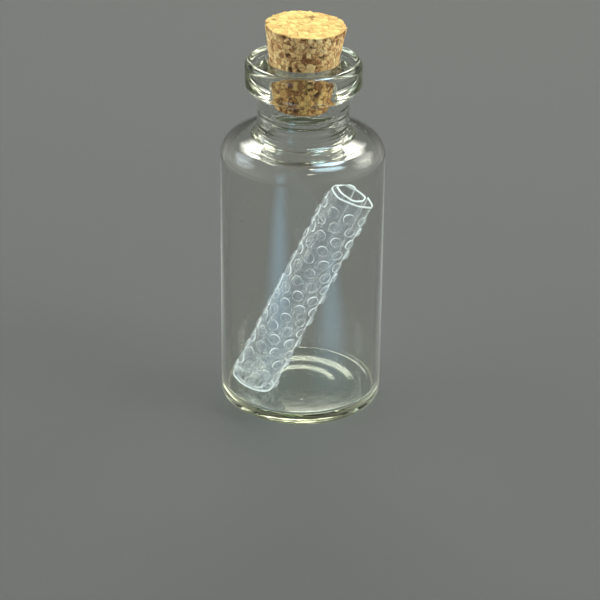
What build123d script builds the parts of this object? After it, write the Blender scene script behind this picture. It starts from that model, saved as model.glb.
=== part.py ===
from build123d import *
import math
import os

# Small tubular glass vial, closed by a tapered cork, with a roll of clear blister film
# leaning across the inside. Millimetres, +Z up. The origin is the centre of the base on
# the plane the vial stands on, +X is to the right and -Y is the front.

# Vial: one piece of glass, its wall, shoulder and lip
body_diameter = 22.0
vial_height = 48.9
wall = 0.9
heel_radius = 0.7
inner_heel_radius = 1.8
shoulder_wall = 1.1
shoulder_drop = 10.9          # from the top of the lip down to the shoulder's outer corner
shoulder_flat = 1.22          # straight slope left between the two rounded corners
inner_shoulder_radius = 2.2
shoulder_slope = 10.0         # degrees above level
neck_diameter = 12.25
neck_bore = 9.05
neck_fillet = 1.5
lip_diameter = 15.4
lip_height = 4.3
lip_under_round = 1.5
lip_top_round = 0.8
mouth_round = 0.6
flat_error = 0.14             # the most that a rounded corner's flats cut into its arc

# Base: a narrow resting ring round a shallow push-up, and a level ring inside round it
base_thickness = 1.0
base_push_up = 0.5
foot_ring_width = 1.4
floor_ring_width = 0.3

# Cork: tapered stopper, seated where its taper meets the bore
cork_top_diameter = 10.7
cork_bottom_diameter = 7.0
cork_length = 11.2
cork_edge = 0.3
cork_gap = 0.06
cork_lean = 2.5               # degrees towards +X

# Film roll: one sheet rolled into half turns, each a film and a blister further out
film_thickness = 0.12
half_turns = 4
roll_bore = 3.9
roll_length = 30.7
blister_diameter = 1.4
blister_height = 0.5
blister_sides = 6
blister_pitch = 2.12
blister_margin = 0.3          # plain film left round the sheet's edges
blister_root = 0.09           # how deep a blister's foot is set into the film

# How the roll stands: leaning in an upright plane a little in front of the vial's axis
roll_azimuth = -2.0           # degrees from +X towards +Y
roll_offset = 2.8             # from the vial's axis to that plane
roll_wall_gap = 0.1
roll_floor_gap = 0.05
seam_turn = 40.0              # degrees from the lean towards the free edge of the sheet

os.makedirs("parts", exist_ok=True)

# Heights and radii that follow from the driving sizes
body_radius = body_diameter / 2
inner_radius = body_radius - wall
neck_radius = neck_diameter / 2
bore_radius = neck_bore / 2
lip_radius = lip_diameter / 2
lip_bottom = vial_height - lip_height
slope = math.tan(math.radians(shoulder_slope))
shoulder_corner = vial_height - shoulder_drop
neck_corner = shoulder_corner + (body_radius - neck_radius) * slope
shoulder_length = math.hypot(body_radius - neck_radius, neck_corner - shoulder_corner)
half_turn_in = math.tan(math.radians(90 - shoulder_slope) / 2)
shoulder_radius = (shoulder_length - shoulder_flat) / half_turn_in - neck_fillet
inner_shoulder_corner = shoulder_corner - shoulder_wall
inner_neck_corner = inner_shoulder_corner + (inner_radius - bore_radius) * slope
foot_radius = body_radius - heel_radius - foot_ring_width
floor_radius = inner_radius - inner_heel_radius - floor_ring_width
floor_top = base_thickness + base_push_up

# Vial: the half section of the glass. Each corner, from the foot ring up the outside and
# down the inside, is listed with its rounding
glass_corners = {
    (foot_radius, 0): 0,
    (body_radius, 0): heel_radius,
    (body_radius, shoulder_corner): shoulder_radius,
    (neck_radius, neck_corner): neck_fillet,
    (neck_radius, lip_bottom): 0,
    (lip_radius, lip_bottom): lip_under_round,
    (lip_radius, vial_height): lip_top_round,
    (bore_radius, vial_height): mouth_round,
    (bore_radius, inner_neck_corner): 0,
    (inner_radius, inner_shoulder_corner): inner_shoulder_radius,
    (inner_radius, base_thickness): inner_heel_radius,
    (floor_radius, base_thickness): 0,
}

with BuildLine() as glass_outline:
    FilletPolyline(
        (0, base_push_up),
        *glass_corners,
        (0, floor_top),
        radius=glass_corners.values(),
    )


def flats_along(edge):
    """How many straight pieces stand for one edge of the outline."""
    if edge.geom_type == GeomType.LINE:
        return 1
    flat_turn = 2 * math.acos(1 - flat_error / edge.radius)
    return math.ceil(edge.length / edge.radius / flat_turn)


# Each rounding is cut into flats, which revolve into plain cones with few facets
section_points = [
    edge @ (piece / flats_along(edge))
    for edge in glass_outline.wire().order_edges()
    for piece in range(flats_along(edge))
]

with BuildPart() as vial:
    with BuildSketch(Plane.XZ):
        with BuildLine():
            Polyline(*section_points, (0, floor_top), close=True)
        make_face()
    revolve(axis=Axis.Z)
vial.part.label = "vial"
export_step(vial.part, "parts/vial.step")

# Cork: a turned taper that stands in the mouth, leaning a little
cork_taper = (cork_top_diameter - cork_bottom_diameter) / 2 / cork_length
seat_height = vial_height - mouth_round
seat_radius = bore_radius - cork_gap
cork_top = (cork_top_diameter / 2 - seat_radius) / cork_taper
cork_axis = (math.sin(math.radians(cork_lean)), 0, math.cos(math.radians(cork_lean)))
cork_side = (cork_axis[2], 0, -cork_axis[0])
cork_plane = Plane(origin=(0, 0, seat_height), x_dir=cork_side, z_dir=cork_axis)

with BuildPart(cork_plane.offset(cork_top - cork_length)) as cork:
    Cone(
        cork_bottom_diameter / 2,
        cork_top_diameter / 2,
        cork_length,
        align=(Align.CENTER, Align.CENTER, Align.MIN),
    )
    chamfer(cork.edges().filter_by(GeomType.CIRCLE), length=cork_edge)
cork.part.label = "cork"
export_step(cork.part, "parts/cork.step")

# Film roll: each half turn is centred one step to the side of the last, so that the
# turns join smoothly and lie one film and one blister apart
turn_step = (film_thickness + blister_height) / 2
inner_turn = roll_bore / 2


def turn_radius(turn):
    """Inner radius of one half turn of the film."""
    return inner_turn + turn * turn_step


def turn_centre(turn):
    """Where that half turn is centred along the roll's own X."""
    return (turn % 2 - 0.5) * turn_step


last_turn = half_turns - 1
roll_reach = turn_radius(last_turn) + film_thickness + blister_height
rim_span = 2 * math.sqrt((inner_radius - roll_wall_gap) ** 2 - roll_offset**2)
roll_diagonal = math.hypot(roll_length, 2 * roll_reach)
roll_lean = math.asin(rim_span / roll_diagonal) - math.atan2(2 * roll_reach, roll_length)

lean_way = Vector(1, 0, 0).rotate(Axis.Z, roll_azimuth)
side_way = Vector(0, 1, 0).rotate(Axis.Z, roll_azimuth)
roll_axis = lean_way * math.sin(roll_lean) + Vector(0, 0, 1) * math.cos(roll_lean)
level_foot = lean_way * (roll_reach * math.cos(roll_lean) - rim_span / 2) - side_way * roll_offset
roll_foot = level_foot + Vector(0, 0, floor_top + roll_floor_gap + roll_reach * math.sin(roll_lean))
seam_way = side_way.cross(roll_axis).rotate(Axis((0, 0, 0), roll_axis), seam_turn)
roll_plane = Plane(origin=roll_foot, x_dir=seam_way, z_dir=roll_axis)

blister_step = blister_pitch * math.sin(math.radians(60))
end_margin = blister_margin + blister_diameter / 2
blister_rows = int((roll_length - 2 * end_margin) / blister_step) + 1
covered_film = turn_radius(last_turn - 1) + film_thickness
blisters_round = int(2 * math.pi * covered_film / blister_pitch)
seam_margin = math.degrees(math.asin(end_margin / covered_film))
blister_angle = (360 - 2 * seam_margin) / (blisters_round - 0.5)


def blister_plane(row, place):
    """The plane of one blister's foot on the outer turn, facing away from the roll."""
    angle = seam_margin + (place + row % 2 / 2) * blister_angle
    turn = last_turn - 1 + int(angle // 180)
    outward = Vector(math.cos(math.radians(angle)), math.sin(math.radians(angle)), 0)
    foot = outward * (turn_radius(turn) + film_thickness - blister_root)
    foot += Vector(turn_centre(turn), 0, end_margin + row * blister_step)
    local = Plane(origin=foot, x_dir=(0, 0, 1), z_dir=outward)
    return roll_plane * local.location


with BuildPart() as film_roll:
    with BuildSketch(roll_plane):
        with BuildLine():
            for turn in range(half_turns):
                for radius in (turn_radius(turn), turn_radius(turn) + film_thickness):
                    CenterArc((turn_centre(turn), 0), radius, 180 * (turn % 2), 180)
            for turn, side in ((0, 1), (last_turn, math.cos(math.pi * half_turns))):
                edge = turn_centre(turn) + side * turn_radius(turn)
                Line((edge, 0), (edge + side * film_thickness, 0))
        make_face()
    extrude(amount=roll_length)
    blister_planes = [
        Plane(blister_plane(row, place)) for row in range(blister_rows) for place in range(blisters_round)
    ]
    with BuildSketch(*blister_planes):
        RegularPolygon(blister_diameter / 2, blister_sides)
    extrude(amount=blister_height + blister_root)
film_roll.part.label = "film_roll"
export_step(film_roll.part, "parts/film_roll.step")
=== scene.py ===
import math
import random

import bpy
import numpy as np
from mathutils import Euler, Matrix, Quaternion, Vector, noise
from mathutils.kdtree import KDTree


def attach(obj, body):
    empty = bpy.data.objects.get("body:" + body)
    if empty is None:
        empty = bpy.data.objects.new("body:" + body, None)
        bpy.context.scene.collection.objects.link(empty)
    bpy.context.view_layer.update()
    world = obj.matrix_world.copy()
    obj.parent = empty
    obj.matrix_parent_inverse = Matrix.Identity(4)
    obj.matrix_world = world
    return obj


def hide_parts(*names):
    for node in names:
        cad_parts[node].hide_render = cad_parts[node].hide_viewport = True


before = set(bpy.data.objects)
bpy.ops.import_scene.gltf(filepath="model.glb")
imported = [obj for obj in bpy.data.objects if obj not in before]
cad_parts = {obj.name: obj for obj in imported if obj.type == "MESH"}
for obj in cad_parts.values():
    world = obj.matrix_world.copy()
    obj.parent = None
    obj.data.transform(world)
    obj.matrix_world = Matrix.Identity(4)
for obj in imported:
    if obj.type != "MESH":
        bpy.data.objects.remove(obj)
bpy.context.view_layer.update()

# ---------------------------------------------------------------------------------------
# The vial. Drawn glass tube, closed and flattened at one end over a flame, necked in and
# rolled over at the other. The heat leaves slow ripples in the shoulder, neck and lip, and
# a few stretched air seeds lie inside the wall.
# ---------------------------------------------------------------------------------------

MM = 0.001  # sizes below are in millimetres

VIAL_HEIGHT = 48.9
BODY_RADIUS = 10.99
INNER_RADIUS = 10.1
NECK_RADIUS = 6.125
BORE_RADIUS = 4.525
BORE_MIDDLE = 42.0
LIP_RADIUS = 7.7
LIP_BOTTOM = 44.6
SHOULDER_CORNER = 38.0
INNER_SHOULDER_CORNER = 36.9
SHOULDER_RISE = math.tan(math.radians(10.0))
NECK_CORNER = SHOULDER_CORNER + (BODY_RADIUS - NECK_RADIUS) * SHOULDER_RISE
INNER_NECK_CORNER = INNER_SHOULDER_CORNER + (INNER_RADIUS - BORE_RADIUS) * SHOULDER_RISE
FOOT_RADIUS = 3.9
FOOT_STEP = 0.058
FOOT_EDGE = 0.130
STEP_ROUND = 0.5
FLOOR_RADIUS = 9.1
FLOOR_RIM = 1.42
FLOOR_RISE = 0.06
WORKED_FROM = 35.0

# Corners of the glass as (radius, height, rounding). The outer ones run from the level
# middle of the foot over two faint steps, up the wall and over the lip into the bore.
OUTER_CORNERS = [
    (FOOT_RADIUS, 0, 0),
    (4.2, 0, STEP_ROUND),
    (5.0, FOOT_STEP, STEP_ROUND),
    (6.7, FOOT_STEP, STEP_ROUND),
    (7.7, FOOT_EDGE, STEP_ROUND),
    (BODY_RADIUS, FOOT_EDGE, 0.7),
    (BODY_RADIUS, WORKED_FROM, 0),
    (BODY_RADIUS, SHOULDER_CORNER, 2.94),
    (NECK_RADIUS, NECK_CORNER, 1.5),
    (NECK_RADIUS, LIP_BOTTOM, 0.3),
    (LIP_RADIUS, LIP_BOTTOM, 1.25),
    (LIP_RADIUS, VIAL_HEIGHT, 0.9),
    (BORE_RADIUS, VIAL_HEIGHT, 0.6),
    (BORE_RADIUS, BORE_MIDDLE, 0),
]
INNER_CORNERS = [
    (BORE_RADIUS, BORE_MIDDLE - 1, 0),
    (BORE_RADIUS, INNER_NECK_CORNER, 1.6),
    (INNER_RADIUS, INNER_SHOULDER_CORNER, 2.2),
    (INNER_RADIUS, WORKED_FROM, 0),
    (INNER_RADIUS, FLOOR_RIM, 0.8),
    (FLOOR_RADIUS, FLOOR_RIM, 0),
]

AROUND_VIAL = 220
LONGEST_SPAN = 0.8
WORKED_SPAN = 0.16
ARC_STEP = math.radians(7.0)
CROWN_STEPS = 12


def rounded_section(corners):
    """Points along a section through corners of (radius, height, rounding)."""
    points = []
    for i, (radius, height, rounding) in enumerate(corners):
        corner = Vector((radius, height))
        if rounding == 0:
            points.append(corner)
            continue
        back = (Vector(corners[i - 1][:2]) - corner).normalized()
        ahead = (Vector(corners[i + 1][:2]) - corner).normalized()
        half_angle = back.angle(ahead) / 2
        centre = corner + (back + ahead).normalized() * rounding / math.sin(half_angle)
        start = corner + back * rounding / math.tan(half_angle) - centre
        sweep = start.angle_signed(corner + ahead * rounding / math.tan(half_angle) - centre)
        steps = math.ceil(abs(sweep) / ARC_STEP)
        for step in range(steps + 1):
            turn = -sweep * step / steps
            points.append(centre + Matrix.Rotation(turn, 2) @ start)
    return points


def divided(points, longest, finest=None, fine_above=0.0):
    """The same line of points with no gap longer than that, or than finest above a height."""
    finer = [points[0]]
    for start, end in zip(points, points[1:]):
        span = finest if finest and max(start.y, end.y) > fine_above else longest
        pieces = max(1, math.ceil((end - start).length / span))
        finer += [start.lerp(end, piece / pieces) for piece in range(1, pieces + 1)]
    return finer


def crown(radius, edge_height, rise):
    """A shallow dome's section from its edge to the axis."""
    section = []
    for step in range(CROWN_STEPS + 1):
        share = 1 - step / CROWN_STEPS
        section.append(Vector((radius * share, edge_height + rise * (1 - share**2))))
    return section


def smooth_step(value, low, high):
    """0 below low, 1 above high and smooth between."""
    share = min(1.0, max(0.0, (value - low) / (high - low)))
    return share * share * (3 - 2 * share)


# The forming roller leaves shallow rings on the neck that wander a little in pitch and
# fade out at both ends.
RING_FADE = 1.2
RING_WANDER = 0.8
RING_WANDER_PACE = 1.7


def forming_rings(points, low, high, depth, pitch, phase):
    """The points with the roller's rings between two heights, all cut into the glass."""
    ringed = [points[0]]
    run = phase
    for before, point, after in zip(points, points[1:], points[2:]):
        run += (point - before).length
        share = smooth_step(point.y, low, low + RING_FADE)
        share *= 1 - smooth_step(point.y, high - RING_FADE, high)
        along = (after - before).normalized()
        swing = 2 * math.pi * run / pitch + RING_WANDER * math.sin(run * RING_WANDER_PACE)
        wave = depth * share * math.sin(swing)
        ringed.append(point + Vector((along.y, -along.x)) * (wave - depth * share))
    return ringed + [points[-1]]


# The flame draws the glass in by slow and fine waves above the straight wall, and by a
# fainter wave at the heel.
WORKED_HEIGHTS = (31.0, 37.5)
HEEL_HEIGHTS = (1.0, 5.0)
SLOW_RIPPLE = 0.012
FINE_RIPPLE = 0.002
HEEL_RIPPLE = 0.008
SECOND_WAVE = 0.7
INSIDE_PHASE = 1.9
BORE_LEAD = 5  # the outer section's last points, which lie in the bore and ripple with it


def flame_ripple(angle, height, inside):
    """How far the heat has moved the glass outwards, which is never above zero."""
    worked = smooth_step(height, *WORKED_HEIGHTS)
    heel = 1 - smooth_step(height, *HEEL_HEIGHTS)
    phase = INSIDE_PHASE if inside else 0.0
    slow = math.sin(3 * angle + 0.5 * height + phase)
    slow += SECOND_WAVE * math.sin(5 * angle - 0.8 * height + phase)
    fine = math.sin(11 * angle + 1.3 * height - phase)
    drawn_in = worked * (SLOW_RIPPLE * (slow - (1 + SECOND_WAVE)) + FINE_RIPPLE * (fine - 1))
    return drawn_in + heel * HEEL_RIPPLE * (math.sin(4 * angle + phase) - 1)


def ring_faces(first, rings, around):
    """Faces between rings of points that are numbered from first, with around in each."""
    faces = []
    for low in range(first, first + (rings - 1) * around, around):
        for i in range(around):
            ahead = (i + 1) % around
            faces.append((low + i, low + ahead, low + around + ahead, low + around + i))
    return faces


def close_rings(points, faces, first, around, ends):
    """Joins the rings of points from first on, and closes them with a fan to each end point."""
    rings = (len(points) - first) // around
    faces += ring_faces(first, rings, around)
    for end, ring in zip(ends, (0, rings - 1)):
        points.append(end)
        low = first + ring * around
        for i in range(around):
            pair = (low + i, low + (i + 1) % around)
            faces.append((len(points) - 1, *(pair[::-1] if ring == 0 else pair)))


def solid_mesh(name, points, faces, sharp_above=None):
    """An object of that mesh, shaded smooth but for edges sharper than so many degrees."""
    mesh = bpy.data.meshes.new(name)
    mesh.from_pydata([tuple(point) for point in np.asarray(points) * MM], [], faces)
    mesh.shade_smooth()
    if sharp_above is not None:
        mesh.set_sharp_from_angle(angle=math.radians(sharp_above))
    made = bpy.data.objects.new(name, mesh)
    bpy.context.scene.collection.objects.link(made)
    return made


outer_section = rounded_section(OUTER_CORNERS)
inner_section = outer_section[-1:] + rounded_section(INNER_CORNERS)
outside = divided(outer_section, LONGEST_SPAN, WORKED_SPAN, WORKED_FROM)
inside = divided(inner_section, LONGEST_SPAN, WORKED_SPAN, WORKED_FROM)[1:]
glass_section = crown(FOOT_RADIUS, 0, 0)[:0:-1]
glass_section += forming_rings(outside, low=38.4, high=43.4, depth=0.018, pitch=1.1, phase=0.0)
inside_from = len(glass_section) - BORE_LEAD
glass_section += forming_rings(inside, low=37.2, high=42.6, depth=0.042, pitch=0.80, phase=0.3)
glass_section += crown(FLOOR_RADIUS, FLOOR_RIM, FLOOR_RISE)[1:]

glass_points = []
glass_faces = []
for place, (radius, height) in enumerate(glass_section[1:-1], start=1):
    for i in range(AROUND_VIAL):
        angle = 2 * math.pi * i / AROUND_VIAL
        moved = radius + flame_ripple(angle, height, place >= inside_from)
        glass_points.append((moved * math.cos(angle), moved * math.sin(angle), height))
foot_and_floor = [(0, 0, glass_section[end].y) for end in (0, -1)]
close_rings(glass_points, glass_faces, 0, AROUND_VIAL, foot_and_floor)

# Air seeds as (bearing, height, radius). They are closed hollows halfway through the wall,
# drawn out upwards, and their faces look inwards.
SEEDS = [
    (-1.9, 12.0, 0.10),
    (-0.6, 24.0, 0.07),
    (-2.4, 29.0, 0.08),
    (-1.1, 8.5, 0.06),
    (0.4, 17.0, 0.09),
]
SEED_STRETCH = 2.2
SEED_SIDES = 10
wall_middle = (BODY_RADIUS + INNER_RADIUS) / 2


def in_wall(bearing, out, along, height):
    """A point that far out from the axis and that far along the wall from a bearing."""
    return (
        out * math.cos(bearing) - along * math.sin(bearing),
        out * math.sin(bearing) + along * math.cos(bearing),
        height,
    )


for bearing, height, size in SEEDS:
    first = len(glass_points)
    for row in range(1, SEED_SIDES // 2):
        polar = math.pi * row / (SEED_SIDES // 2)
        for i in range(SEED_SIDES):
            around = 2 * math.pi * i / SEED_SIDES
            out = wall_middle + size * math.sin(polar) * math.cos(around)
            along = size * math.sin(polar) * math.sin(around)
            up = height + SEED_STRETCH * size * math.cos(polar)
            glass_points.append(in_wall(bearing, out, along, up))
    tips = [in_wall(bearing, wall_middle, 0, height + end * SEED_STRETCH * size) for end in (1, -1)]
    close_rings(glass_points, glass_faces, first, SEED_SIDES, tips)

vial_glass = solid_mesh("vial_glass", glass_points, glass_faces)


class Socket:
    """One output of a finish's nodes. Sums written with it add their own Math nodes."""

    def __init__(self, finish, output):
        self.finish = finish
        self.output = output

    def math(self, operation, *values):
        return self.finish.node("ShaderNodeMath", {"operation": operation}, dict(enumerate(values)))

    def __add__(self, other):
        return self.math("ADD", self, other)

    def __radd__(self, other):
        return self.math("ADD", other, self)

    def __sub__(self, other):
        return self.math("SUBTRACT", self, other)

    def __rsub__(self, other):
        return self.math("SUBTRACT", other, self)

    def __mul__(self, other):
        return self.math("MULTIPLY", self, other)

    def __rmul__(self, other):
        return self.math("MULTIPLY", other, self)

    def __pow__(self, other):
        return self.math("POWER", self, other)

    def __rpow__(self, other):
        return self.math("POWER", other, self)

    def minimum(self, other):
        return self.math("MINIMUM", self, other)

    def above(self, low, high):
        """0 below low, 1 above high and smooth between."""
        return self.finish.node(
            "ShaderNodeMapRange",
            {"interpolation_type": "SMOOTHSTEP"},
            {"Value": self, "From Min": low, "From Max": high},
        )


class Finish:
    """The nodes of a material, a lamp or the room, written as expressions on their sockets."""

    def __init__(self, owner):
        self.owner = owner
        owner.use_nodes = True
        self.tree = owner.node_tree
        self.tree.nodes.clear()

    def node(self, kind, settings=None, sockets=None, output=0):
        """Adds a node with its settings and its sockets' values or links."""
        made = self.tree.nodes.new(kind)
        for name, value in (settings or {}).items():
            if name == "stops":
                made.color_ramp.elements.remove(made.color_ramp.elements[1])
                for i, (place, colour) in enumerate(value):
                    stop = made.color_ramp.elements[0] if i == 0 else made.color_ramp.elements.new(place)
                    stop.position = place
                    stop.color = (*colour, 1)
            else:
                setattr(made, name, value)
        for name, value in (sockets or {}).items():
            if isinstance(value, Socket):
                self.tree.links.new(value.output, made.inputs[name])
            else:
                made.inputs[name].default_value = value
        return Socket(self, made.outputs[output]) if made.outputs else None

    def place(self):
        """Where a point is on the object, in millimetres."""
        position = self.node("ShaderNodeTexCoord", output="Object")
        return self.node("ShaderNodeVectorMath", {"operation": "SCALE"}, {0: position, "Scale": 1 / MM})

    def noise(self, scale, detail=2.0, rough=0.5, stretch=(1, 1, 1)):
        """Noise with scale features to a millimetre, drawn out along the axes by stretch."""
        shrunk = self.node(
            "ShaderNodeVectorMath",
            {"operation": "MULTIPLY"},
            {0: self.place(), 1: tuple(1 / share for share in stretch)},
        )
        return self.node(
            "ShaderNodeTexNoise",
            None,
            {"Vector": shrunk, "Scale": scale, "Detail": detail, "Roughness": rough},
        )

    def on_points(self, name):
        """The number that the mesh keeps under that name on each of its points."""
        return self.node("ShaderNodeAttribute", {"attribute_name": name}, output="Fac")

    def blend(self, share, first, second, mode="MIX"):
        return self.node(
            "ShaderNodeMix",
            {"data_type": "RGBA", "blend_type": mode},
            {0: share, 6: first, 7: second},
            output=2,
        )

    def bump(self, height, distance, below=None):
        """A normal from a height of 0 to 1 that stands for distance in millimetres."""
        sockets = {"Height": height, "Distance": distance * MM}
        if below is not None:
            sockets["Normal"] = below
        return self.node("ShaderNodeBump", None, sockets)

    def surface(self, sockets):
        return self.node("ShaderNodeBsdfPrincipled", None, sockets)

    def mixed(self, share, first, second):
        return self.node("ShaderNodeMixShader", None, {0: share, 1: first, 2: second})

    def finished(self, end="Material", **shaders):
        """Ends the nodes of a material, a light or a world, and gives their owner."""
        self.node(f"ShaderNodeOutput{end}", None, shaders)
        return self.owner


GLASS_TINT = (0.960, 0.972, 0.955, 1)
GLASS_SHADOW = (0.95, 0.96, 0.945, 1)
GLASS_DEPTH = (0.88, 0.90, 0.80, 1)
GLASS_DEPTH_DENSITY = 150.0  # to a metre
GLASS_IOR = 1.52


def glass_finish():
    """Clear glass, olive where it is thick, that lets lamps through to what is behind."""
    finish = Finish(bpy.data.materials.new("clear_glass"))
    smears = finish.noise(0.35, detail=4.0, rough=0.6).above(0.55, 0.75)
    draw_lines = finish.noise(0.55, stretch=(1, 1, 14))
    dust = finish.noise(2.6, detail=0.0).above(0.80, 0.83)
    clear = finish.surface(
        {
            "Base Color": GLASS_TINT,
            "Roughness": 0.004 + smears * 0.02,
            "IOR": GLASS_IOR,
            "Transmission Weight": 1.0,
            "Normal": finish.bump(dust, 0.02, below=finish.bump(draw_lines, 0.008)),
        }
    )
    open_way = finish.node("ShaderNodeBsdfTransparent", None, {"Color": GLASS_SHADOW})
    lamp_ray = finish.node("ShaderNodeLightPath", output="Is Shadow Ray")
    depth = finish.node(
        "ShaderNodeVolumeAbsorption",
        None,
        {"Color": GLASS_DEPTH, "Density": GLASS_DEPTH_DENSITY},
    )
    return finish.finished(Surface=finish.mixed(lamp_ray, clear, open_way), Volume=depth)


vial_glass.data.materials.append(glass_finish())
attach(vial_glass, "vial")
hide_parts("vial")

# ---------------------------------------------------------------------------------------
# The cork. Granules of cork bark pressed and glued into a block, turned to a taper and
# pushed into the mouth a little askew. Granules have crumbled from the rim and left pits
# in the side.
# ---------------------------------------------------------------------------------------

CORK_SEAT = Vector((0, 0, 48.3))
CORK_LEAN = math.radians(2.5)
CORK_LENGTH = 11.2
CORK_TOP = 5.358
CORK_BOTTOM = CORK_TOP - CORK_LENGTH
CORK_TOP_RADIUS = 5.35
CORK_BOTTOM_RADIUS = 3.5
CORK_CORNERS = [
    (0.02, CORK_TOP, 0),
    (CORK_TOP_RADIUS, CORK_TOP, 0.16),
    (CORK_BOTTOM_RADIUS, CORK_BOTTOM, 0.3),
    (0.02, CORK_BOTTOM, 0),
]
AROUND_CORK = 380
CORK_SPAN = 0.095

GRANULE = 0.60
GRANULE_JITTER = 0.48
GRANULES_ACROSS = range(-9, 10)
GRANULES_UP = range(-10, 9)
GRANULE_DROP = 0.07
PIT_SHARE = 0.07
PIT_DEPTH = 0.36
PIT_SLOPE = 0.22
GAP_WIDTH = 0.10
GAP_DEPTH = 0.07
GAP_TONE = 0.40
DROP_SHADE = 9
RAGGED = 0.22
RAGGED_SCALE = 1.7
FINE_RAGGED = 0.06
FINE_RAGGED_SCALE = 5.1
GRAIN_DEPTH = 0.018
GRAIN_SCALE = 9.0
RIM_WIDTH = 0.85
CRUMBLY_RIM = 0.3
CRUMBLY_TONE = 0.62
TONE_SPREAD = (2.6, 1.6)
GRANULE_SEED = 7

# The seed also fixes the noise that makes the granules ragged.
noise.seed_set(GRANULE_SEED)
granule_dice = random.Random(GRANULE_SEED)
granules = []
for step_x in GRANULES_ACROSS:
    for step_y in GRANULES_ACROSS:
        for step_z in GRANULES_UP:
            jitter = [granule_dice.uniform(-GRANULE_JITTER, GRANULE_JITTER) for _ in range(3)]
            tone = granule_dice.betavariate(*TONE_SPREAD)
            drop = granule_dice.random() ** 2 * GRANULE_DROP
            missing = granule_dice.random() < PIT_SHARE
            aside = 0.5 * (step_z % 2)
            cell = Vector((step_x + aside, step_y + aside, step_z))
            granules.append(((cell + Vector(jitter)) * GRANULE, tone, drop, missing))
granule_tree = KDTree(len(granules))
for i, (middle, *_) in enumerate(granules):
    granule_tree.insert(middle, i)
granule_tree.balance()


def cork_point(spot, normal, rim):
    """Where a point of the turned taper lies in the worn cork, its granule's tone, and how dark it is
    painted: dark joints between granules, with painted shade in deep gaps and in pits.
    """
    ragged = spot + noise.noise_vector(spot * RAGGED_SCALE) * RAGGED
    ragged += noise.noise_vector(spot * FINE_RAGGED_SCALE) * FINE_RAGGED
    (_, first, near), (_, _, next_near) = granule_tree.find_n(ragged, 2)
    _, tone, drop, missing = granules[first]
    gap = 1 - smooth_step(next_near - near, 0.0, GAP_WIDTH)
    gone = missing or (rim > CRUMBLY_RIM and tone < CRUMBLY_TONE)
    pit = smooth_step(next_near - near, 0.0, PIT_SLOPE) if gone else 0.0
    grain = noise.noise(spot * GRAIN_SCALE) * GRAIN_DEPTH
    depth = drop + gap * GAP_DEPTH + pit * PIT_DEPTH * (0.5 + 0.5 * tone) + max(0.0, grain)
    # The last value is the dark joint, with painted shade added where the granule has dropped and in the
    # pits.
    return spot - normal * depth, tone, min(1.0, gap * (GAP_TONE + drop * DROP_SHADE) + pit)


cork_section = divided(rounded_section(CORK_CORNERS), CORK_SPAN)
cork_points = []
cork_tones = []
cork_gaps_and_pit_shade = []
cork_zones = []
for place, point in enumerate(cork_section):
    before = cork_section[max(place - 1, 0)]
    after = cork_section[min(place + 1, len(cork_section) - 1)]
    along = (after - before).normalized()
    outward = Vector((-along.y, along.x))
    below_rim = (CORK_TOP - point.y) + (CORK_TOP_RADIUS - point.x) * 2.5
    rim = 1 - smooth_step(below_rim, RIM_WIDTH * 0.4, RIM_WIDTH)
    # 1 on the cut upper end, where the finish paints light, 0 on the side that stands out of the mouth
    # and -1 below it, where the finish paints shade
    zone = smooth_step(outward.y, 0.6, 0.95) - smooth_step(-point.y, -0.6, 0.6)
    for i in range(AROUND_CORK):
        angle = 2 * math.pi * i / AROUND_CORK
        radial = Vector((math.cos(angle), math.sin(angle), 0))
        spot = radial * point.x + Vector((0, 0, point.y))
        normal = radial * outward.x + Vector((0, 0, outward.y))
        worn, tone, gap = cork_point(spot, normal, rim)
        cork_points.append(worn)
        cork_tones.append(tone)
        cork_gaps_and_pit_shade.append(gap)
        cork_zones.append(zone)
cork_faces = [(a, d, c, b) for a, b, c, d in ring_faces(0, len(cork_section), AROUND_CORK)]
last_ring = len(cork_points) - AROUND_CORK
cork_faces.append(tuple(range(AROUND_CORK)))
cork_faces.append(tuple(last_ring + i for i in reversed(range(AROUND_CORK))))

cork_way = Matrix.Translation(CORK_SEAT) @ Matrix.Rotation(CORK_LEAN, 4, "Y")
cork_stopper = solid_mesh("cork_stopper", [cork_way @ point for point in cork_points], cork_faces)


def keep_on_points(piece, name, values):
    """Keeps a number for each point of a piece, for its finish to use."""
    layer = piece.data.attributes.new(name, "FLOAT", "POINT")
    layer.data.foreach_set("value", values)


keep_on_points(cork_stopper, "granule_tone", cork_tones)
keep_on_points(cork_stopper, "granule_gap_and_pit_shade", cork_gaps_and_pit_shade)
keep_on_points(cork_stopper, "zone", cork_zones)

BARK_TONES = [
    (0.00, (0.170, 0.072, 0.026)),
    (0.20, (0.390, 0.200, 0.078)),
    (0.45, (0.640, 0.415, 0.175)),
    (0.75, (0.830, 0.620, 0.280)),
    (1.00, (0.930, 0.790, 0.420)),
]
BARK_GAP_AND_SHADE = (0.085, 0.034, 0.012, 1)
CUT_END_LIGHT_TINT = (0.95, 0.93, 0.75, 1)
NECK_SHADE_TINT = (1.0, 0.84, 0.68, 1)


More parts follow.
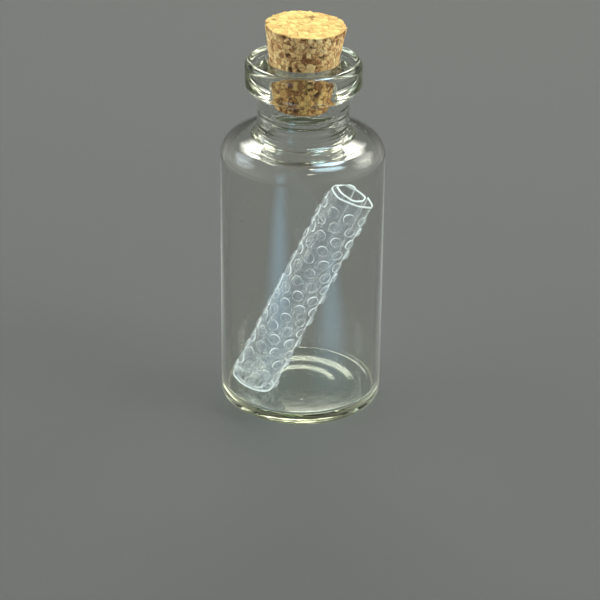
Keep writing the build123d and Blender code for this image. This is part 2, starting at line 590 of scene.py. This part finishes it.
def pressed_cork():
    """Cork bark in granules of every brown. Its cut end is painted paler and yellower as the light
    falling on it, with less contrast and fewer dark gaps, and the part inside the neck is painted darker
    and oranger as shade.
    """
    finish = Finish(bpy.data.materials.new("pressed_cork"))
    tone = finish.on_points("granule_tone")
    gap = finish.on_points("granule_gap_and_pit_shade")
    zone = finish.on_points("zone")
    # Painted light: the cut end is made paler, and yellower by its tint, where the warm overhead light
    # falls on it. It also shows less bark contrast.
    lit_cut_end = zone.above(0, 1)
    # Painted shade: the part inside the neck, under the lip, is made darker, and oranger by its tint.
    shade_in_neck = (zone * -1.0).above(0, 1)
    cells = finish.noise(6.5, detail=3.0, rough=0.65)
    clouds = finish.noise(1.3)
    specks = finish.noise(3.4, detail=1.0).above(0.66, 0.72)
    mottle = (tone - 0.6) + (cells - 0.5) * 1.4 + (clouds - 0.5) * 0.3
    shade = 0.52 + mottle * (1.0 - lit_cut_end * 0.6 + shade_in_neck * 0.25) + lit_cut_end * 0.07 - shade_in_neck * 0.12
    colour = finish.node("ShaderNodeValToRGB", {"stops": BARK_TONES}, {"Fac": shade})
    # The cut end's tint paints the warm colour of the overhead light on it.
    colour = finish.blend(lit_cut_end, colour, CUT_END_LIGHT_TINT, "MULTIPLY")
    # The neck tint paints shade on the cork inside the neck.
    colour = finish.blend(shade_in_neck, colour, NECK_SHADE_TINT, "MULTIPLY")
    # Dark joints, painted shade in gaps and pits, and dark specks all darken the cork.
    dark = ((gap * 0.85 + specks * 0.4) * (1.0 - lit_cut_end * 0.4)).minimum(1.0)
    bark = finish.surface(
        {
            "Base Color": finish.blend(dark, colour, BARK_GAP_AND_SHADE),
            "Roughness": 0.78 + cells * 0.2,
            "Normal": finish.bump(cells, 0.05, below=finish.bump(specks * -1.0, 0.08)),
            "Specular IOR Level": 0.25,
        }
    )
    return finish.finished(Surface=bark)


cork_stopper.data.materials.append(pressed_cork())
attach(cork_stopper, "cork")
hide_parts("cork")

# ---------------------------------------------------------------------------------------
# The film roll. One sheet of clear blister film, two plies sealed together round small
# air blisters, rolled into two loose turns with the blisters outwards. It leans across
# the vial from the heel on one side to the wall on the other.
# ---------------------------------------------------------------------------------------

FILM = 0.12
ROLL_LENGTH = 30.7
ROLL_TURN = 4 * math.pi
INNER_TURN = 1.80
TURN_STEP = 0.36
ROLL_REACH = 3.5
ROLL_AZIMUTH = math.radians(-2.0)
ROLL_OFFSET = 2.8
ROLL_WALL_GAP = 0.1
ROLL_FLOOR = 1.55
SEAM_TURN = math.radians(40.0)

rim_span = 2 * math.sqrt((INNER_RADIUS - ROLL_WALL_GAP) ** 2 - ROLL_OFFSET**2)
roll_lean = math.asin(rim_span / math.hypot(ROLL_LENGTH, 2 * ROLL_REACH))
roll_lean -= math.atan2(2 * ROLL_REACH, ROLL_LENGTH)
lean_way = Vector((math.cos(ROLL_AZIMUTH), math.sin(ROLL_AZIMUTH), 0))
side_way = Vector((-math.sin(ROLL_AZIMUTH), math.cos(ROLL_AZIMUTH), 0))
roll_axis = lean_way * math.sin(roll_lean) + Vector((0, 0, math.cos(roll_lean)))
roll_foot = lean_way * (ROLL_REACH * math.cos(roll_lean) - rim_span / 2) - side_way * ROLL_OFFSET
roll_foot += Vector((0, 0, ROLL_FLOOR + ROLL_REACH * math.sin(roll_lean)))
seam_way = Quaternion(roll_axis, SEAM_TURN) @ side_way.cross(roll_axis)
roll_frame = np.array([seam_way, roll_axis.cross(seam_way), roll_axis])
left_way = -roll_frame @ np.array(side_way.cross(roll_axis))

spiral_start = INNER_TURN - TURN_STEP / 2
spiral_growth = TURN_STEP / math.pi
sheet_length = (spiral_start + FILM / 2) * ROLL_TURN + spiral_growth * ROLL_TURN**2 / 2

# How the sheet departs from an even spiral. Its upper end is drawn in and slid up turn by
# turn, the free edge springs out, and the inner turn is pressed to the left.
SLACK = 0.045
FINE_SLACK = 0.025
FREE_EDGE_TURN = 0.7
FREE_EDGE_SPRING = 0.06
UPPER_SPRING = 0.12
UPPER_DRAWN_IN = 0.25
UPPER_SLIDE = 0.88
SLIDE_LOST = 0.18
RAGGED_CUT = 0.13
FINE_RAGGED_CUT = 0.03
PRESSED_LEFT = 0.35
UPPER_PRESSED_LEFT = 0.45


def rolled(points):
    """Points of the flat sheet, as (along, across, height), on the leaning roll."""
    along, across, height = np.array(points, float).T
    start = spiral_start + FILM / 2
    turn = (np.sqrt(start**2 + 2 * spiral_growth * along) - start) / spiral_growth
    inner = 1 - turn / ROLL_TURN
    upper = np.clip((across / ROLL_LENGTH - 0.5) * 2, 0, 1)
    slack = SLACK * np.sin(2 * turn + 0.21 * across)
    slack += FINE_SLACK * np.sin(3 * turn - 0.47 * across + 1.0)
    free_edge = np.clip((turn - ROLL_TURN + FREE_EDGE_TURN) / FREE_EDGE_TURN, 0, 1) ** 2
    spring = (FREE_EDGE_SPRING + UPPER_SPRING * upper) * free_edge
    radius = spiral_start + spiral_growth * turn + height + slack + spring
    radius -= UPPER_DRAWN_IN * upper * inner
    ragged = RAGGED_CUT * np.sin(2.4 * turn + 0.6) + FINE_RAGGED_CUT * np.sin(7 * turn - 0.5)
    slide = upper * (UPPER_SLIDE - SLIDE_LOST * turn / math.pi + ragged)
    aside = (PRESSED_LEFT + UPPER_PRESSED_LEFT * upper) * inner
    local = [
        radius * np.cos(turn) + aside * left_way[0],
        radius * np.sin(turn) + aside * left_way[1],
        across + slide,
    ]
    return np.stack(local, 1) @ roll_frame + np.array(roll_foot)


# The flat sheet is a lattice of cells on both faces. Each blister takes the place of one
# cell's upper face, and rows are staggered by half a cell.
PITCH = 2.12
ROW_STEP = PITCH * math.sin(math.radians(60))
PLAIN_SIDES = 0.6
PLAIN_ENDS = 1.0
CUT_WIDTH = 0.13
ALONG_CELL = 8
ACROSS_CELL = 6
FIRST_LINE = 2  # the line of the lattice where the first cell starts

cells_along = int((sheet_length - PLAIN_SIDES) / PITCH)
cells_across = int((ROLL_LENGTH - PLAIN_ENDS) / ROW_STEP)


def lattice(length, cells, cell, parts):
    """Where the lines lie along one side of the sheet: at its cuts, in its margins, over its cells."""
    margin = (length - cells * cell) / 2
    edge_lines = [0.0, CUT_WIDTH, 2 * CUT_WIDTH, margin / 2]
    cell_lines = [margin + cell * i / parts for i in range(cells * parts + 1)]
    return edge_lines + cell_lines + [length - line for line in reversed(edge_lines)]


def at_cut(lines):
    """1 for each line of the lattice at a cut edge of the sheet, and 0 for the others."""
    return [float(min(line, lines[-1] - line) < 1.5 * CUT_WIDTH) for line in lines]


lattice_along = lattice(sheet_length, cells_along, PITCH, ALONG_CELL)
lattice_across = lattice(ROLL_LENGTH, cells_across, ROW_STEP, ACROSS_CELL)
columns = len(lattice_along)
rows = len(lattice_across)
under = rows * columns
SIDE_FROST = 0.35
WELD_OFF_HIGHLIGHT = 0.35

sheet_points = [
    (along, across, height)
    for height in (FILM, 0.0)
    for across in lattice_across
    for along in lattice_along
]
sheet_frost_and_highlight = 2 * [
    max(ends, SIDE_FROST * sides) for ends in at_cut(lattice_across) for sides in at_cut(lattice_along)
]
sheet_faces = []


def at(column, row):
    """The number of a point on the upper face."""
    return row * columns + column


def ring_of(centre, radius, height, bearings, weld=0.0, highlight_bearing=0.0):
    """Adds a ring of points to the sheet, its weld painted whitest on one side as a highlight, and gives
    their numbers.
    """
    first = len(sheet_points)
    for bearing in bearings:
        sheet_points.append(
            (centre[0] + radius * math.cos(bearing), centre[1] + radius * math.sin(bearing), height)
        )
        # The weld is painted whiter towards one bearing, as a highlight.
        painted_highlight = (0.5 + 0.5 * math.cos(bearing - highlight_bearing)) ** 2
        sheet_frost_and_highlight.append(weld * (WELD_OFF_HIGHLIGHT + (1 - WELD_OFF_HIGHLIGHT) * painted_highlight))
    return list(range(first, len(sheet_points)))


def joined(outer, inner):
    """Adds the faces between two rings, which face away from the sheet."""
    for i in range(len(outer)):
        ahead = (i + 1) % len(outer)
        sheet_faces.append((outer[i], outer[ahead], inner[ahead], inner[i]))


def capped(ring, centre, height):
    """Adds the fan of faces that closes a ring."""
    sheet_points.append((centre[0], centre[1], height))
    sheet_frost_and_highlight.append(0.0)
    for i in range(len(ring)):
        sheet_faces.append((ring[i], ring[(i + 1) % len(ring)], len(sheet_points) - 1))


BLISTER_RADIUS = 0.70
BLISTER_HEIGHT = 0.44
BLISTER_WALL = 0.05
BLISTER_ASIDE = 0.05
BLISTER_SIZES = (0.93, 1.03)
BLISTER_HEIGHTS = (0.78, 1.0)
BLISTER_SLACK = 0.16
BLISTER_TOP_SHARE = 0.3
INNERMOST_HEIGHT = 0.45
INNERMOST_WELD = 0.25
BLISTER_SEED = 21

# Each blister's wall from its foot inwards, as its share of the radius, its share of the
# height and how white the weld is there. The pocket's wall has the two shares alone.
BLISTER_WALLS = [
    (1.07, 0.0, 0.0),
    (1.03, 0.08, 0.9),
    (0.99, 0.35, 0.7),
    (0.95, 0.72, 0.0),
    (0.87, 0.92, 0.0),
    (0.72, 1.0, 0.0),
]
POCKET_WALLS = [(0.91, 0.32), (0.87, 0.66), (0.80, 0.85), (0.66, 0.93)]
POCKET_FLOOR = 0.06
POCKET_FLOOR_SHARE = 0.88

blister_dice = random.Random(BLISTER_SEED)


def add_blister(first_column, first_row):
    """Adds the blister on one cell: its wall and its top, and the pocket of air inside."""
    last_column = first_column + ALONG_CELL
    last_row = first_row + ACROSS_CELL
    border = [at(first_column + i, first_row) for i in range(ALONG_CELL)]
    border += [at(last_column, first_row + j) for j in range(ACROSS_CELL)]
    border += [at(last_column - i, last_row) for i in range(ALONG_CELL)]
    border += [at(first_column, last_row - j) for j in range(ACROSS_CELL)]
    middle = (
        (lattice_along[first_column] + lattice_along[last_column]) / 2,
        (lattice_across[first_row] + lattice_across[last_row]) / 2,
    )
    bearings = [
        math.atan2(sheet_points[i][1] - middle[1], sheet_points[i][0] - middle[0]) for i in border
    ]
    centre = [place + blister_dice.uniform(-BLISTER_ASIDE, BLISTER_ASIDE) for place in middle]
    outwards = centre[0] / sheet_length
    size = BLISTER_RADIUS * blister_dice.uniform(*BLISTER_SIZES)
    tall = BLISTER_HEIGHT * blister_dice.uniform(*BLISTER_HEIGHTS)
    tall *= INNERMOST_HEIGHT + (1 - INNERMOST_HEIGHT) * outwards
    slack = blister_dice.uniform(0.0, BLISTER_SLACK) * tall
    # The bearing where the weld's painted highlight is brightest.
    highlight_bearing = blister_dice.uniform(0, 2 * math.pi)
    white = INNERMOST_WELD + (1 - INNERMOST_WELD) * smooth_step(outwards, 0.35, 0.55)

    outer = border
    for share, rise, weld in BLISTER_WALLS:
        inner = ring_of(centre, size * share, FILM + tall * rise, bearings, weld * white, highlight_bearing)
        joined(outer, inner)
        outer = inner
    inner = ring_of(centre, size * BLISTER_TOP_SHARE, FILM + tall - slack * 0.7, bearings)
    joined(outer, inner)
    capped(inner, centre, FILM + tall - slack)

    # The pocket's faces are turned inwards.
    inner = ring_of(centre, size * BLISTER_TOP_SHARE, POCKET_FLOOR, bearings)
    capped(inner, centre, POCKET_FLOOR)
    outer = ring_of(centre, size * POCKET_FLOOR_SHARE, POCKET_FLOOR, bearings)
    joined(outer, inner)
    for share, rise in POCKET_WALLS:
        inner = ring_of(centre, size * share, FILM + tall * rise - BLISTER_WALL * 0.3, bearings)
        joined(inner, outer)
        outer = inner
    capped(outer[::-1], centre, FILM + tall - slack - BLISTER_WALL)


covered = set()
for cell_row in range(cells_across):
    half = cell_row % 2
    for cell in range(cells_along - half):
        first_column = FIRST_LINE + cell * ALONG_CELL + half * ALONG_CELL // 2
        first_row = FIRST_LINE + cell_row * ACROSS_CELL
        covered |= {
            (first_column + i, first_row + j) for i in range(ALONG_CELL) for j in range(ACROSS_CELL)
        }
        add_blister(first_column, first_row)

for row in range(rows - 1):
    for column in range(columns - 1):
        quad = (at(column, row), at(column + 1, row), at(column + 1, row + 1), at(column, row + 1))
        if (column, row) not in covered:
            sheet_faces.append(quad)
        sheet_faces.append(tuple(under + i for i in reversed(quad)))
edge = [at(column, 0) for column in range(columns - 1)]
edge += [at(columns - 1, row) for row in range(rows - 1)]
edge += [at(column, rows - 1) for column in range(columns - 1, 0, -1)]
edge += [at(0, row) for row in range(rows - 1, 0, -1)]
for i, corner in enumerate(edge):
    ahead = edge[(i + 1) % len(edge)]
    sheet_faces.append((under + corner, under + ahead, ahead, corner))

blister_film = solid_mesh("blister_film", rolled(sheet_points), sheet_faces, sharp_above=50)
keep_on_points(blister_film, "frost_and_highlight", sheet_frost_and_highlight)

FILM_TINT = (0.97, 0.985, 1.0, 1)
FILM_STRAIGHT_ON = (0.985, 0.992, 1.0, 1)
FILM_STRAIGHT_SHARE = 0.68
FILM_IOR = 1.49
WELD_FRONT = (0.93, 0.96, 0.98, 1)
WELD_THROUGH = (0.90, 0.95, 0.98, 1)


def blister_finish():
    """Thin clear film: most light goes straight on, cut edges and welds are white, and each weld has a
    painted highlight on one side.
    """
    finish = Finish(bpy.data.materials.new("clear_film"))
    scuffs = finish.noise(1.6, detail=3.0).above(0.45, 0.75)
    crinkles = finish.bump(finish.noise(0.7), 0.003)
    film = finish.surface(
        {
            "Base Color": FILM_TINT,
            "Roughness": 0.01 + scuffs * 0.02,
            "Coat Weight": 0.3,
            "Coat Roughness": 0.2,
            "IOR": FILM_IOR,
            "Transmission Weight": 1.0,
            "Normal": crinkles,
        }
    )
    straight_on = finish.node("ShaderNodeBsdfTransparent", None, {"Color": FILM_STRAIGHT_ON})
    lamp_ray = finish.node("ShaderNodeLightPath", output="Is Shadow Ray")
    clear = finish.mixed(FILM_STRAIGHT_SHARE, film, straight_on)
    clear = finish.mixed(lamp_ray, clear, straight_on)
    lit_front = finish.surface({"Base Color": WELD_FRONT, "Roughness": 0.4, "Normal": crinkles})
    lit_through = finish.node("ShaderNodeBsdfTranslucent", None, {"Color": WELD_THROUGH})
    white = finish.mixed(0.5, lit_front, lit_through)
    edge_on = finish.node("ShaderNodeLayerWeight", None, {"Blend": 0.5}, output="Facing")
    # The white share is the frost of cut edges and welds, with the welds' painted highlight, and a haze
    # where the film is seen edge on.
    frost_and_highlight_share = finish.on_points("frost_and_highlight") * 0.9 + edge_on**10 * 0.9
    return finish.finished(Surface=finish.mixed(frost_and_highlight_share, clear, white))


blister_film.data.materials.append(blister_finish())
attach(blister_film, "film_roll")
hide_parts("film_roll")

# ---------------------------------------------------------------------------------------
# The table and the light tent. A plain matt table in a tent of cloth that is bright on the
# left and right and open in front, with soft lamps behind, beside and above.
# ---------------------------------------------------------------------------------------

TABLE_HALF = 800
TABLE_DROP = 0.02
TABLE_COLOUR = (0.085, 0.088, 0.088, 1)
TENT_COLOUR = (1.0, 0.985, 0.94, 1)
TENT_FRONT = 0.08
TENT_SIDES = 0.8

table_corners = [
    (x * TABLE_HALF, y * TABLE_HALF, -TABLE_DROP) for x, y in ((-1, -1), (1, -1), (1, 1), (-1, 1))
]
table = solid_mesh("table", table_corners, [(0, 1, 2, 3)])
table_finish = Finish(bpy.data.materials.new("pale_table"))
matt = table_finish.surface({"Base Color": TABLE_COLOUR, "Roughness": 0.85, "Specular IOR Level": 0.2})
table.data.materials.append(table_finish.finished(Surface=matt))

tent = Finish(bpy.data.worlds.new("light_tent"))
bearing = tent.node("ShaderNodeTexCoord", output="Generated")
sideways = tent.node(
    "ShaderNodeVectorMath", {"operation": "DOT_PRODUCT"}, {0: bearing, 1: (1, 0, 0)}, "Value"
)
brightness = sideways * sideways * TENT_SIDES + TENT_FRONT
cloth = tent.node("ShaderNodeBackground", None, {"Color": TENT_COLOUR, "Strength": brightness})
bpy.context.scene.world = tent.finished("World", Surface=cloth)

LAMPS_FACE = Vector((0, 0, 25))
LAMP_MIDDLE = (0.5, 0.5, 0)
LAMP_EDGE = 0.50


def soft_lamp(name, place, size, glow, colour, hidden_from=(), soft_from=0.20):
    """A lamp that faces the vial and fades towards its edges, hidden from some kinds of ray."""
    lamp = bpy.data.lights.new(name, "AREA")
    lamp.shape = "RECTANGLE"
    lamp.size, lamp.size_y = (side * MM for side in size)
    lamp.energy = glow * math.pi * lamp.size * lamp.size_y
    lamp.color = colour
    light = Finish(lamp)
    across = light.node("ShaderNodeNewGeometry", output="Parametric")
    from_middle = light.node(
        "ShaderNodeVectorMath", {"operation": "DISTANCE"}, {0: across, 1: LAMP_MIDDLE}, "Value"
    )
    shine = light.node("ShaderNodeEmission", None, {"Strength": from_middle.above(LAMP_EDGE, soft_from)})
    light.finished("Light", Surface=shine)
    holder = bpy.data.objects.new(name, lamp)
    bpy.context.scene.collection.objects.link(holder)
    place = Vector(place)
    holder.rotation_euler = (LAMPS_FACE - place).to_track_quat("-Z", "Y").to_euler()
    holder.location = place * MM
    for rays in hidden_from:
        setattr(holder, f"visible_{rays}", False)
    return holder


CREAM = (1.0, 0.985, 0.90)
PALE_CREAM = (1.0, 0.985, 0.92)
YELLOW = (1.0, 0.93, 0.60)
WARM = (1.0, 0.96, 0.78)
COOL = (0.80, 0.92, 1.0)
SKY = (0.60, 0.83, 1.0)
WHITE = (0.96, 0.98, 1.0)
STRIP_BLUE = (0.36, 0.70, 1.0)
STRIP_PALE = (0.92, 1.0, 0.95)
FROM_GLASS = ("glossy", "transmission")
FROM_ALL_BUT_GLOSS = ("camera", "diffuse", "transmission")

soft_lamp("back_panel", (0, 334, 325), (420, 232), 15.0, CREAM)
soft_lamp("left_panel", (-300, 120, 260), (260, 260), 3.6, COOL)
soft_lamp("right_panel", (300, 140, 250), (280, 280), 4.0, PALE_CREAM)
soft_lamp("top_bar", (0, 90, 440), (460, 110), 5.0, YELLOW, FROM_GLASS)
soft_lamp("overhead_lamp", (70, -150, 445), (70, 40), 30.0, WARM)
soft_lamp("sky_window", (156, 40, 460), (220, 260), 22.0, SKY, ("diffuse",))
soft_lamp("left_fill", (-370, -90, 200), (300, 300), 11.0, WHITE, FROM_GLASS)
soft_lamp("right_fill", (370, -110, 200), (300, 300), 14.0, WHITE, FROM_GLASS)

# Strips of light lie on the table and face up. Only the gloss of the glass shows them.
for name, place, size, bearing, glow, colour in (
    ("left_strip", (-31, -56, 0.5), (40, 110), -29, 3.0, STRIP_BLUE),
    ("right_strip", (25, -32.5, 0.5), (34, 60), 43, 2.6, STRIP_BLUE),
    ("left_edge", (-26, 41, 0.5), (28, 130), 20, 0.45, STRIP_PALE),
    ("right_edge", (26, 41, 0.5), (28, 130), -20, 0.45, STRIP_PALE),
):
    strip = soft_lamp(name, place, size, glow, colour, FROM_ALL_BUT_GLOSS, 0.0)
    strip.rotation_euler = (math.pi, 0, math.radians(bearing))
soft_lamp("tall_window", (-73, -131, 60), (60, 240), 2.2, STRIP_BLUE, FROM_ALL_BUT_GLOSS, 0.0)

# ---------------------------------------------------------------------------------------
# The camera. A long lens that looks down on the vial from the front, by 25 degrees, and
# turned a little about its own axis.
# ---------------------------------------------------------------------------------------

FRAME_PIXELS = 600
FOCAL_PIXELS = 2160
SENSOR_WIDTH = 36
CAMERA_DISTANCE = 290.2
CAMERA_ELEVATION = math.radians(24.91)
CAMERA_ROLL = math.radians(0.575)
LOOKED_AT = Vector((0, 0, 27.2))
LOOKED_AT_PIXEL = (302.23, 210.83)

camera_data = bpy.data.cameras.new("camera")
camera_data.sensor_width = SENSOR_WIDTH
camera_data.lens = SENSOR_WIDTH * FOCAL_PIXELS / FRAME_PIXELS
camera_data.clip_start = 0.01
camera = bpy.data.objects.new("camera", camera_data)
bpy.context.scene.collection.objects.link(camera)
aim_right = math.atan((LOOKED_AT_PIXEL[0] - FRAME_PIXELS / 2) / FOCAL_PIXELS)
aim_down = math.atan((FRAME_PIXELS / 2 - LOOKED_AT_PIXEL[1]) / FOCAL_PIXELS)
back = Vector((0, -math.cos(CAMERA_ELEVATION), math.sin(CAMERA_ELEVATION)))
camera.matrix_world = (
    Matrix.Translation((LOOKED_AT + back * CAMERA_DISTANCE) * MM)
    @ Matrix.Rotation(math.pi / 2 - CAMERA_ELEVATION, 4, "X")
    @ Matrix.Rotation(CAMERA_ROLL, 4, "Z")
    @ Euler((-aim_down, aim_right, 0)).to_matrix().to_4x4()
)
bpy.context.scene.camera = camera

bpy.context.scene.view_settings.view_transform = "Standard"

# Light needs many bounces to get through glass, film and glass again.
cycles = bpy.context.scene.cycles
cycles.max_bounces = 48
cycles.transmission_bounces = 48
cycles.glossy_bounces = 16
cycles.transparent_max_bounces = 64
